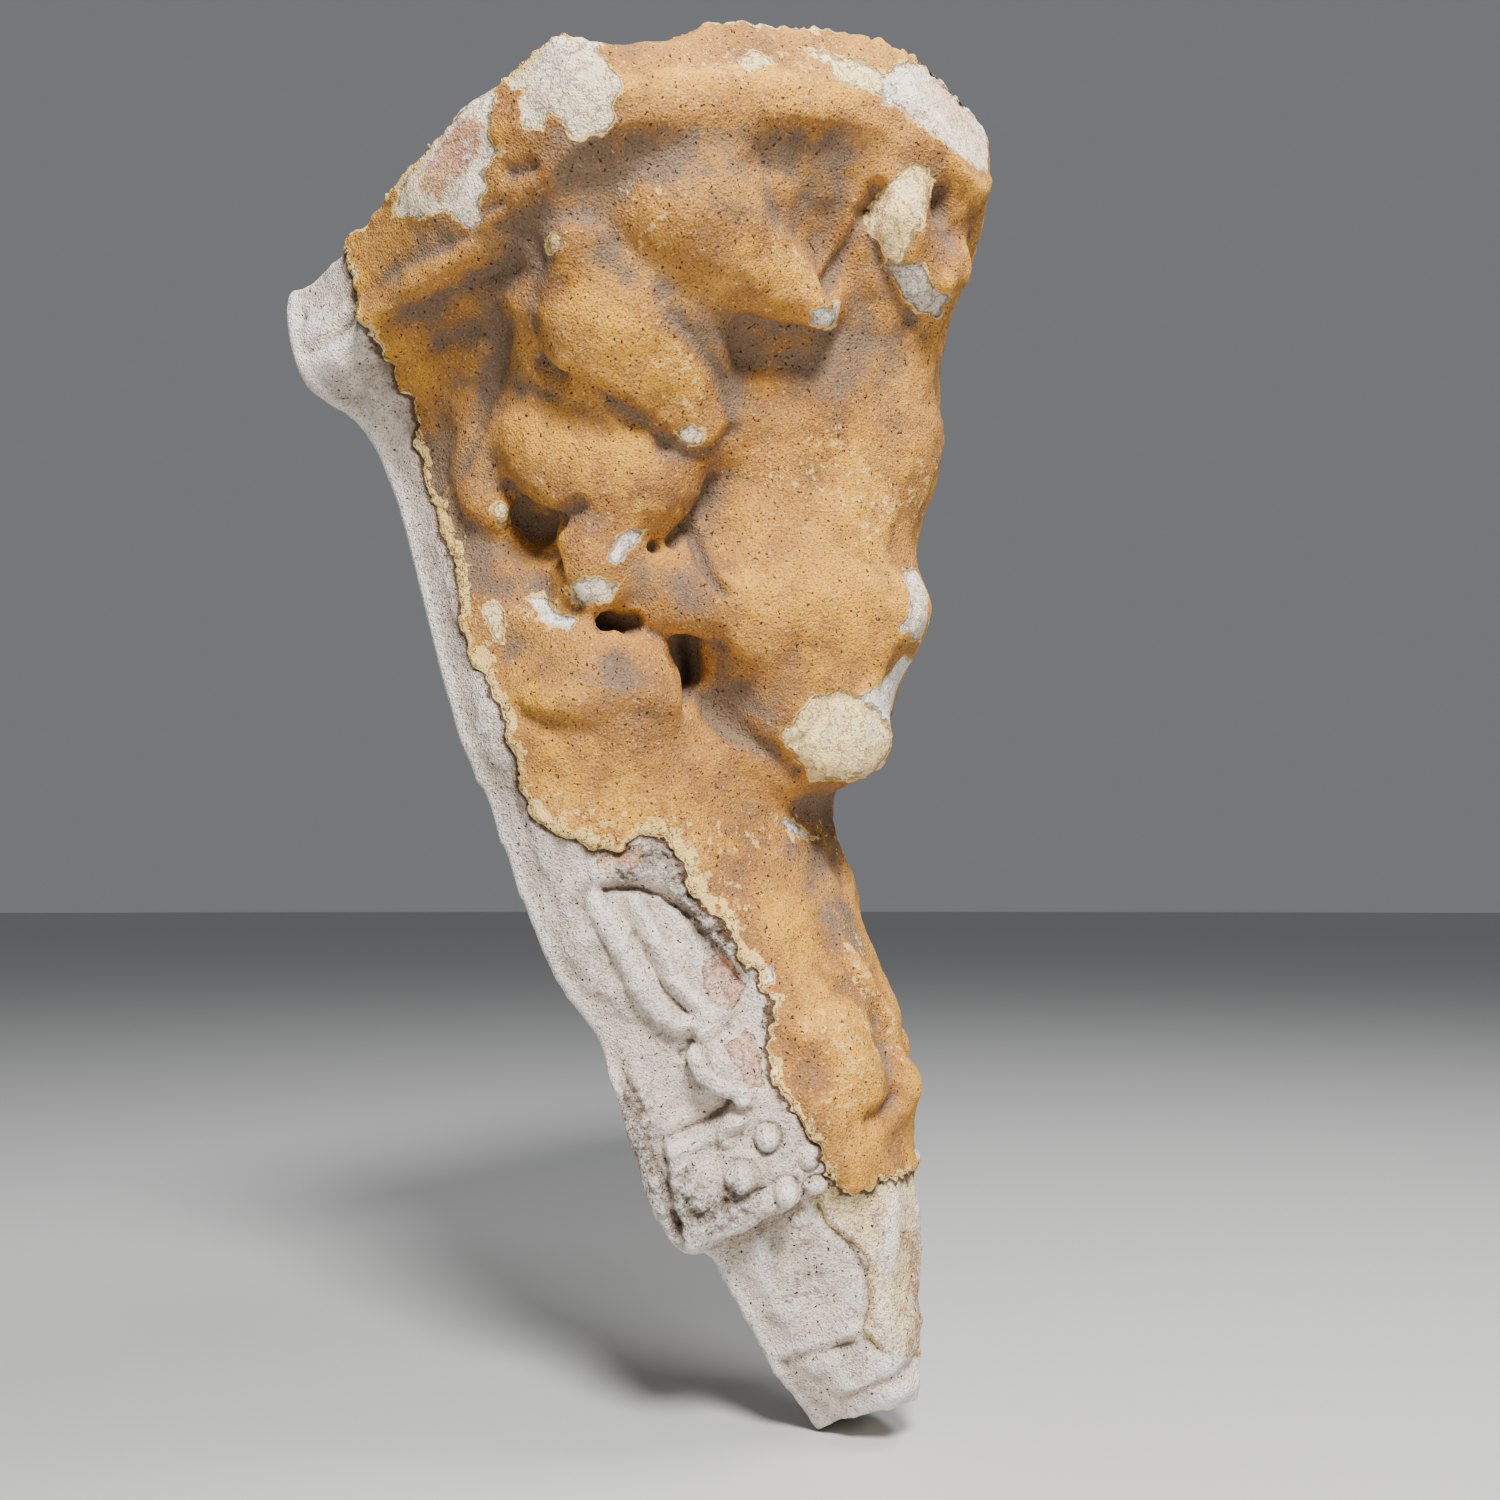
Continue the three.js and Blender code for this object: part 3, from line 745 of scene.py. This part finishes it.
def fit_outline(mesh):
    """Ease what shows against the background out or in to the outline."""
    for _ in range(FIT_ROUNDS):
        tree = tree_of(mesh)
        places, normals = read_mesh(mesh)
        pixels, scale = on_image(places)
        sight = places - np.array(EYE)
        sight /= np.linalg.norm(sight, axis=1)[:, None]
        gap = inside_by(OUTLINE, pixels) * scale
        edge = (np.abs((normals * sight).sum(axis=1)) < SQUARE) & (np.abs(gap) < REACH)
        beside = places[edge] + normals[edge] * BESIDE
        edge[edge] = [is_open(tree, place) for place in beside.tolist()]
        share = eased(np.stack([edge * gap, edge * 1.0], axis=1), edge_pairs(mesh), EASE_ROUNDS)
        places += normals * (share[:, 0] / np.maximum(share[:, 1], THIN))[:, None]
        write_mesh(mesh, places)


def refine(mesh, outline=None):
    """Split the faces that the view shows, or those of them inside an outline."""
    tree = tree_of(mesh)
    bm = bmesh.new()
    bm.from_mesh(mesh)
    faces = [face for face in bm.faces if is_seen(tree, face.calc_center_median())]
    if outline:
        pixels, _ = on_image(np.array([face.calc_center_median() for face in faces]))
        faces = [face for face, inside in zip(faces, inside_by(outline, pixels)) if inside > 0]
    edges = list({edge for face in faces for edge in face.edges})
    bmesh.ops.subdivide_edges(bm, edges=edges, cuts=1, smooth=0.7, use_grid_fill=True)
    bm.to_mesh(mesh)
    bm.free()


def eased(values, pairs, rounds):
    """Values averaged with their neighbours over and over."""
    near, far = np.concatenate([pairs, pairs[:, ::-1]]).T
    count = np.bincount(near, minlength=len(values))[:, None]
    for _ in range(rounds):
        total = np.stack([np.bincount(near, column[far], len(values)) for column in values.T], axis=1)
        values = (values + total / count) / 2
    return values


def spread(tree, places, strokes):
    """The strongest of some strokes at each place, on both flanks."""
    share = np.zeros(len(places))
    for points, radius in strokes.values():
        for flip in (False, True):
            share = np.maximum(share, along(dome, path(tree, points, flip), places, radius))
    return share


def paint_tone(tree, places):
    """How the paint is tinted at each place, on both flanks: its own tints mixed with painted highlight and
    painted shade.
    """
    tone = np.zeros(len(places))
    for points, radius, share in TINT_LIGHT_AND_SHADE.values():
        for flip in (False, True):
            tone += share * along(dome, path(tree, points, flip), places, radius)
    return np.clip(tone, -1, 1)


def bare_by(places, pixels, scale, ragged):
    """How far in mm each place lies inside the bare plaster, negative on the paint."""
    bare = inside_by(BARE, pixels) * scale / MM + ragged
    bare = np.maximum(bare, (places[:, 2] - TOP) / MM + TOP_BARE + ragged)
    return np.maximum(bare, places[:, 1] / MM + BACK_BARE + ragged)


def flaked_by(pixels, scale, ragged, shown):
    """How far in mm each place lies inside a flake, and the colour of its under coat."""
    flake = np.full(len(pixels), -float(FAR))
    under = np.ones((len(pixels), 4))
    for colour, outline in FLAKES.values():
        depth = inside_by(outline, pixels) * scale / MM + FLAKE_RAGGED * ragged
        depth = np.where(shown, depth, -FAR)
        under[(depth > flake) | (depth > 0)] = colour
        flake = np.maximum(flake, depth)
    return flake, under


def marks_on(mesh, tree):
    """Distances in mm to the edges of paint, and shares from 0 to 1, for each vertex."""
    places, _ = read_mesh(mesh)
    shown = np.array([is_seen(tree, place) for place in places.tolist()])
    flank = places.copy()
    flank[:, 0] = np.where(shown, places[:, 0], -np.abs(places[:, 0]))
    pixels, scale = on_image(flank)
    ragged = uneven(places, RAGGED)
    bare = bare_by(places, pixels, scale, ragged)
    flake, under = flaked_by(pixels, scale, ragged, shown)
    return {
        "bare": np.clip(bare, -FAR, FAR), "flake": flake, "under": under,
        "tone": paint_tone(tree, places), "scuff": spread(tree, places, SCUFFS),
        "mortar": spread(tree, places, MORTAR) * ramp(bare, -1, 1),
    }


def carve(mesh, tree, marks):
    """Cut the grooves, raise the beads, and give paint and plaster their own depth and grain."""
    places, normals = read_mesh(mesh)
    raised = shift_by(mesh, tree, RIDGES, dome) + shift_by(mesh, tree, ROLLS, roll, MIRRORED_ROLLS)
    raised += shift_by(mesh, tree, BEADS, bead, BEADS)
    depth = shift_by(mesh, tree, GROOVES, wedge, MIRRORED_GROOVES)
    bare = ramp(marks["bare"], -TORN, TORN)
    flake = ramp(marks["flake"], -TORN, TORN)
    lip = dome((marks["bare"] + LIP_IN) * MM, LIP_HALF)
    lip *= np.clip(LIP_MEAN + LIP_RISE * rough(places, LIP_LUMP, 3), 0, LIP_RISE)
    mortar = marks["mortar"] * (MORTAR_RISE + uneven(places, MORTAR_UNEVEN))
    coats = lip - COAT * bare - FLAKE_DEPTH * flake * (1 - bare)
    grain = uneven(places, UNEVEN) + bare * uneven(places, PLASTER_UNEVEN) + mortar
    front = ramp(-places[:, 1], BACK_KEPT, BACK_FREE)
    places += normals * (front * (raised - depth + MM * (coats + grain)))[:, None]
    deep = (front * ramp(depth, EASED_FROM, EASED_FULL))[:, None]
    places += deep * (eased(places, edge_pairs(mesh), GROOVE_ROUNDS) - places)
    write_mesh(mesh, places)


def edge_pairs(mesh):
    """The two vertices of each edge."""
    pairs = np.empty(len(mesh.edges) * 2, dtype=np.int32)
    mesh.edges.foreach_get("vertices", pairs)
    return pairs.reshape(-1, 2)


def find_hollows(mesh):
    """How far each vertex lies below its surroundings, in mm."""
    places, normals = read_mesh(mesh)
    around = eased(places, edge_pairs(mesh), HOLLOW_ROUNDS)
    return ((around - places) * normals).sum(axis=1) / MM


def keep_marks(mesh, marks):
    """Store the marks on the vertices, for the finish to read."""
    for name, values in marks.items():
        kind = "FLOAT_COLOR" if values.ndim == 2 else "FLOAT"
        layer = mesh.attributes.new(name, kind, "POINT")
        layer.data.foreach_set("color" if values.ndim == 2 else "value", values.ravel())


def make_casting():
    """The casting, from the laid forms down to its grain."""
    piece = fused_forms()
    mesh = piece.data
    soften(mesh)
    correct_form(mesh)
    fit_outline(mesh)
    refine(mesh)
    refine(mesh, FINE)
    tree = tree_of(mesh)
    marks = marks_on(mesh, tree)
    carve(mesh, tree, marks)
    marks["hollow"] = find_hollows(mesh)
    keep_marks(mesh, marks)
    mesh.shade_smooth()
    mesh.materials.clear()
    mesh.materials.append(painted_plaster())
    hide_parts("pilaster_section")
    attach(piece, "root")


class Number:
    """A number in a shader, which adds its Math nodes as it is reckoned with."""

    def __init__(self, paint, socket):
        self.paint = paint
        self.socket = socket

    def __add__(self, other):
        return self.paint.reckon("ADD", self, other)

    def __sub__(self, other):
        return self.paint.reckon("SUBTRACT", self, other)

    def __rsub__(self, other):
        return self.paint.reckon("SUBTRACT", other, self)

    def __mul__(self, other):
        return self.paint.reckon("MULTIPLY", self, other)

    __radd__ = __add__
    __rmul__ = __mul__


class Paint:
    """A material and its nodes."""

    def __init__(self, name):
        self.material = bpy.data.materials.new(name)
        self.material.use_nodes = True
        self.tree = self.material.node_tree
        self.shader = self.tree.nodes["Principled BSDF"]
        self.place = self.node("TexCoord").outputs["Object"]

    def node(self, kind, settings=(), sockets=()):
        """Add a node, with its settings and the values or links of its sockets."""
        made = self.tree.nodes.new("ShaderNode" + kind)
        for name, value in dict(settings).items():
            setattr(made, name, value)
        self.feed(made, sockets)
        return made

    def feed(self, node, sockets):
        for name, value in dict(sockets).items():
            if isinstance(value, Number):
                value = value.socket
            if isinstance(value, bpy.types.NodeSocket):
                self.tree.links.new(value, node.inputs[name])
            else:
                node.inputs[name].default_value = value

    def reckon(self, operation, *terms):
        made = self.node("Math", {"operation": operation}, enumerate(terms))
        return Number(self, made.outputs[0])

    def mark(self, name):
        return Number(self, self.node("Attribute", {"attribute_name": name}).outputs["Fac"])

    def step(self, value, low, high):
        """0 below low, 1 above high and smooth between."""
        made = self.node("MapRange", {"interpolation_type": "SMOOTHSTEP"},
                         {"Value": value, "From Min": low, "From Max": high})
        return Number(self, made.outputs["Result"])

    def speckle(self, size, detail, roughness=0.5):
        """Noise about 0.5, with features of a size in mm."""
        made = self.node("TexNoise", (), {"Vector": self.place, "Scale": 1 / (size * MM),
                                          "Detail": detail, "Roughness": roughness})
        return Number(self, made.outputs[0])

    def mix(self, share, first, second):
        made = self.node("Mix", {"data_type": "RGBA"}, {0: share, 6: first, 7: second})
        return made.outputs[2]


class Plaster(Paint):
    """The finish of the casting: its marks, its noises, and each of its layers."""

    def __init__(self, name):
        super().__init__(name)
        marks = ("bare", "flake", "hollow", "tone", "scuff", "mortar")
        self.bare, self.flake, self.hollow, self.tone, self.scuff, self.mortar = map(self.mark, marks)
        self.under = self.node("Attribute", {"attribute_name": "under"}).outputs["Color"]
        self.broad = self.speckle(38, 3) - 0.5
        self.middle = self.speckle(11, 4, 0.6) - 0.5
        self.small = self.speckle(4, 5, 0.7)
        self.sand = self.speckle(0.9, 1)
        self.grit = self.speckle(1.3, 1)
        self.pores = self.step(self.speckle(1.8, 2), 0.66, 0.72)
        self.layers = self.speckle(9, 6, 0.62) - 0.5
        self.lines = 1 - self.step(self.reckon("ABSOLUTE", self.layers), 0.004, 0.016)
        torn = (self.small - 0.5) * 3.15
        self.edge = self.bare + torn
        self.bared = self.step(self.edge, 0, 0.3)
        self.chip = self.flake + torn
        self.chip_edge = self.chip + self.layers * 7
        self.chipped = self.step(self.chip, -0.2, 0.2)

    def sandy_paint(self):
        """Ochre paint with sand in it, pitted and scuffed: yellow on crests and mauve in hollows, partly
        its own tints and partly painted highlight and painted shade.
        """
        colour = self.mix(self.step(self.broad, -0.15, 0.15), OCHRE, OCHRE_DEEP)
        # Painted highlight on crests and lit places, mixed with the paint's own yellow tint
        yellow_and_highlight = self.step(self.tone * 1.1 - self.hollow * 0.5 + self.middle * 3, 0.1, 1.5)
        colour = self.mix(yellow_and_highlight, colour, YELLOW)
        # Painted shade in hollows, recesses and soffits, mixed with the paint's own mauve tint
        shade = self.hollow * 0.6 - self.tone * 1.1
        mauve_and_shade = self.step(shade + self.middle * -2.5 + self.broad * 3, -0.1, 1.3)
        colour = self.mix(mauve_and_shade, colour, MAUVE)
        colour = self.mix(self.step(self.sand, 0.5, 0.7) * 0.5, colour, SAND_DARK)
        colour = self.mix(self.pores * 0.8, colour, GRIME_AND_SHADE)
        colour = self.mix(self.step(self.grit, 0.6, 0.74) * (0.45 - mauve_and_shade * 0.3), colour, SAND_LIGHT)
        worn = self.step(self.small + self.scuff * 0.12 - self.hollow * 0.02, 0.67, 0.7)
        return self.mix(worn * 0.8, colour, LAYER)

    def flake_rim(self, colour):
        """A pale, broken rim of the cream coat round each flake."""
        rim = self.step(self.chip_edge, -0.8, -0.5) * self.step(self.chip, -3, -2.5)
        return self.mix(rim, colour, LAYER)

    def flake_coat(self):
        """The mottled and cracked under coat that a flake leaves."""
        colour = self.mix(self.step(self.broad, -0.02, 0.1) * 0.35, self.under, LAYER)
        colour = self.mix(self.step(self.layers, 0.07, 0.1) * 0.6, colour, GREY)
        colour = self.mix(self.step(self.middle, 0.07, 0.11) * 0.4, colour, PINK)
        colour = self.mix(self.step(self.small, 0.58, 0.64) * 0.7, colour, WHITE)
        colour = self.mix(self.lines * 0.4, colour, PLASTER_DARK)
        rim = self.step(self.chip, -0.3, 0.1) - self.step(self.chip_edge, 0.5, 1)
        colour = self.mix(rim * 0.6, colour, SAND_DARK)
        return self.mix(self.step(self.sand, 0.56, 0.7) * 0.25, colour, PLASTER_DARK)

    def torn_edge(self, colour):
        """The layers of paint that show where it has torn: cream, with fine dark lines."""
        wide = self.edge + self.scuff * 3 + self.broad * 14 + self.layers * 12
        peeled = self.step(wide, -2.2, -1.8) * self.step(self.edge, -8, -7)
        colour = self.mix(peeled, colour, LAYER)
        colour = self.mix(peeled * self.lines, colour, SAND_DARK)
        thin = self.edge + self.layers * 6
        line = self.step(thin, -1.1, -0.9) * self.step(self.edge, -2, -1.8)
        colour = self.mix(line * 0.7, colour, SAND_DARK)
        return self.mix(self.step(thin, -0.7, -0.5) * self.step(self.edge, -1.6, -1.4), colour, CREAM)

    def bare_plaster(self, flaked):
        """Pale plaster, stained and pitted, with rough mortar, painted shade in its hollows, on the back
        strip and along the torn edge, a painted shadow below the torn edge, and a painted highlight of
        white grit on crests.
        """
        colour = self.mix(self.step(self.middle, -0.1, 0.16) * 0.6, PLASTER, PLASTER_DULL)
        # Painted shade: the plaster is darker where the tone is low, on the back strip and the back end
        colour = self.mix(self.step(0 - self.tone, 0.1, 0.9) * 0.7, colour, PLASTER_DULL)
        # Painted shade in the hollows, mottled by noise
        colour = self.mix(self.step(self.hollow * 0.7 + self.middle, 0.4, 1.7) * 0.8, colour, PLASTER_DARK)
        colour = self.mix(self.mortar * 0.8, colour, MORTAR_GREY)
        colour = self.mix(self.mortar * self.step(self.small, 0.48, 0.6) * 0.7, colour, PLASTER_DARK)
        colour = self.mix(self.chipped * 0.8, colour, flaked)
        colour = self.mix(self.step(self.small + self.scuff * 0.1, 0.57, 0.68) * 0.55, colour, PLASTER_DARK)
        colour = self.mix(self.step(self.sand, 0.54, 0.7) * 0.45, colour, PLASTER_DARK)
        colour = self.mix(self.pores, colour, GRIME_AND_SHADE)
        # White grit, thicker on crests as a painted highlight
        colour = self.mix(self.step(self.grit - self.hollow * 0.2, 0.52, 0.8) * 0.65, colour, WHITE)
        # A painted shade band, ragged, on the plaster along the torn edge of the paint
        beyond_edge_shade = self.step(self.edge + self.layers * 14, 1, 4)
        colour = self.mix((1 - beyond_edge_shade) * 0.5, colour, PLASTER_DARK)
        shadow = self.step(self.edge, 0, 0.4) - self.step(self.edge, 1.2, 2.6)
        return self.mix(shadow * 0.85, colour, SAND_DARK)

    def relief(self):
        """Height in mm of the sand, the pores, the cracks and the coarser plaster and mortar."""
        paint = self.pores * -0.9 + self.sand * -0.8 + self.grit * 0.5 + self.small * 1.2
        flaked = self.chipped * (self.lines * -0.4 - 0.4)
        plaster = self.bared * (self.small * 0.8 - self.sand * 0.6 - 0.8)
        mortar = self.mortar * (self.small * 2 + self.grit * 1.2)
        return paint + flaked + plaster + mortar


def painted_plaster():
    """Sandy ochre paint over a cream coat, broken away to pale plaster."""
    finish = Plaster("painted plaster")
    flaked = finish.flake_coat()
    colour = finish.flake_rim(finish.sandy_paint())
    colour = finish.mix(finish.chipped, colour, flaked)
    colour = finish.torn_edge(colour)
    colour = finish.mix(finish.bared, colour, finish.bare_plaster(flaked))
    # Painted shade: the deepest hollows darkened nearly to black-brown
    colour = finish.mix(finish.step(finish.hollow, 3, 7) * 0.9, colour, GRIME_AND_SHADE)
    bump = finish.node("Bump", (), {"Height": finish.relief(), "Distance": MM, "Strength": 1.0})
    finish.feed(finish.shader, {"Base Color": colour, "Roughness": 0.82,
                                "Normal": bump.outputs["Normal"], "Specular IOR Level": 0.35})
    return finish.material


def make_floor():
    """A wide pale floor under the foot, level in the view, where the casting leans back."""
    bm = bmesh.new()
    bmesh.ops.create_circle(bm, cap_ends=True, segments=96, radius=FLOOR_RADIUS)
    place = Matrix.Translation((0, 0, FOOT)) @ Matrix.Rotation(LEAN, 4, "X")
    bmesh.ops.transform(bm, matrix=place, verts=bm.verts)
    floor = link("floor", bm)
    paint = Paint("floor")
    paint.feed(paint.shader, {"Base Color": FLOOR_GREY, "Roughness": 0.7})
    floor.data.materials.append(paint.material)


def make_camera():
    """The camera at the eye of the view."""
    data = bpy.data.cameras.new("camera")
    data.sensor_width = SENSOR_MM
    data.sensor_fit = "HORIZONTAL"
    data.lens = SENSOR_MM * LENS_PX / IMAGE
    camera = bpy.data.objects.new("camera", data)
    turn = Matrix((RIGHT, -DOWN, -FORWARD)).transposed()
    camera.matrix_world = Matrix.Translation(EYE) @ turn.to_4x4()
    bpy.context.scene.collection.objects.link(camera)
    bpy.context.scene.camera = camera


def add_light(name, azimuth, elevation, distance, size, power):
    """A round soft light that faces the casting, in degrees, metres and watts."""
    data = bpy.data.lights.new(name, "AREA")
    data.shape = "DISK"
    data.size = size
    data.energy = power
    light = bpy.data.objects.new(name, data)
    a, e = math.radians(azimuth), math.radians(elevation)
    upright = Matrix.Rotation(LEAN, 3, "X")
    way = upright @ Vector((math.sin(a) * math.cos(e), -math.cos(a) * math.cos(e), math.sin(e)))
    light.matrix_world = (Matrix.Translation(LIT + way * distance)
                          @ way.to_track_quat("Z", "Y").to_matrix().to_4x4())
    bpy.context.scene.collection.objects.link(light)


def make_studio():
    """Even light all round, a key light above the camera and a weaker one high in front."""
    world = bpy.data.worlds.new("studio")
    world.use_nodes = True
    backdrop = world.node_tree.nodes["Background"]
    backdrop.inputs["Color"].default_value = STUDIO_GREY
    backdrop.inputs["Strength"].default_value = AMBIENT
    bpy.context.scene.world = world
    bpy.context.scene.view_settings.look = "AgX - Medium High Contrast"
    add_light("key", -48, 42, 1.8, 0.5, 50)
    add_light("top", 25, 62, 1.8, 0.8, 14)


make_casting()
make_floor()
make_camera()
make_studio()
